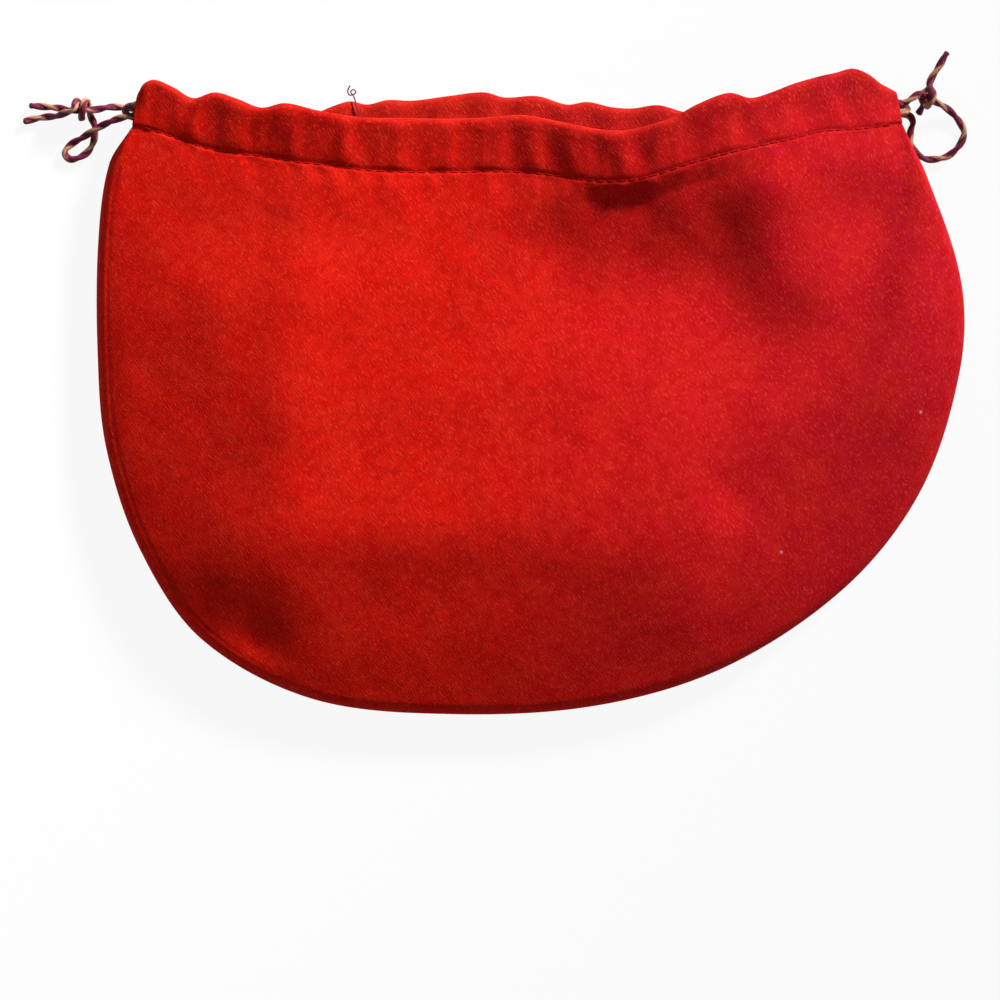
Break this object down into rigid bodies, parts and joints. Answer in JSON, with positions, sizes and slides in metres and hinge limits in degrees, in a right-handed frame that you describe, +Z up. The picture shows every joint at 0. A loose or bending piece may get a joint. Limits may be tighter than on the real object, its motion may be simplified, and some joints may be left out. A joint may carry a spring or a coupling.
{
  "type": "drawstring pouch",
  "caption": "Soft cloth drawstring pouch with a round, lopsided bottom, gathered casings along its open mouth and a knotted twisted cord at each end.",
  "frame": {"origin": "middle of the pouch's box on the surface that its back lies on, without the free cords", "axes": "+X to the right along the mouth, +Y out of the mouth, +Z up from the back panel to the front panel"},
  "size_m": [0.2391, 0.1679, 0.0254],
  "materials": {
    "red_twill": "soft red twill with a slight sheen",
    "red_twill_back": "the same red twill, seen from its wrong side in the mouth",
    "red_thread": "red sewing thread",
    "twisted_cord": "two-ply cord of dark magenta and cream gold",
    "loose_thread": "pale pink sewing thread"
  },
  "bodies": {
    "root": {"front_panel": "red_twill", "back_panel": "red_twill_back", "front_casing_thread": "red_thread", "back_casing_thread": "red_thread", "side_seam_thread": "red_thread", "left_drawcord_run": "twisted_cord", "right_drawcord_run": "twisted_cord", "left_cord_upper": "twisted_cord", "left_cord_lower": "twisted_cord", "right_cord_loop": "twisted_cord", "right_cord_tie": "twisted_cord", "loose_thread": "loose_thread"}
  },
  "joints": []
}
